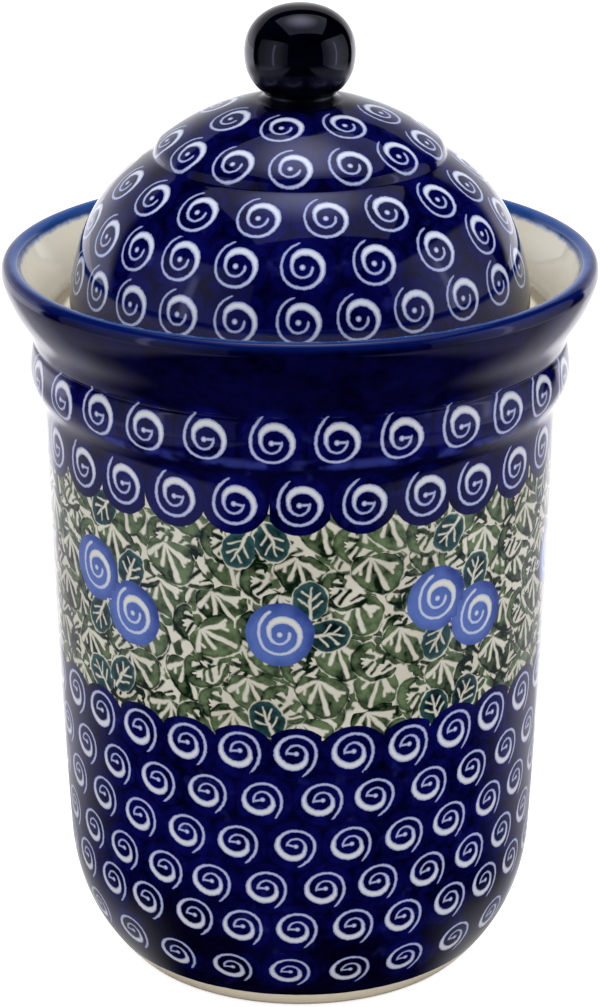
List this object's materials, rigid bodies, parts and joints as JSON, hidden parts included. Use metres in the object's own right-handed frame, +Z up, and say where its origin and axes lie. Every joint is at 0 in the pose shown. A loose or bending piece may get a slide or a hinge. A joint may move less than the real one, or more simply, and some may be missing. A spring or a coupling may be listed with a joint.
{
  "type": "kitchen canister",
  "caption": "Tall round glazed stoneware kitchen canister with a flared rim, an inner gallery and a domed lift-off lid with a ball knob.",
  "frame": {"origin": "centre of the foot ring, on the surface that the canister stands on", "axes": "+Z up along the canister's turning axis, the way the lid lifts; X and Y are alike, because the form is round"},
  "size_m": [0.165, 0.165, 0.2763],
  "materials": {
    "jar_glaze": "glossy cobalt glaze with stamped pattern over cream stoneware",
    "lid_glaze": "glossy cobalt glaze with stamped spirals",
    "knob_glaze": "glossy near-black blue glaze"
  },
  "bodies": {
    "jar": {"jar_body": "jar_glaze"},
    "lid": {"lid_dome": "lid_glaze", "lid_knob": "knob_glaze"}
  },
  "joints": [
    {"name": "lid_lift", "type": "slide", "parent": "jar", "child": "lid", "axis": [0, 0, 1], "range_m": [0, 0.15]}
  ]
}
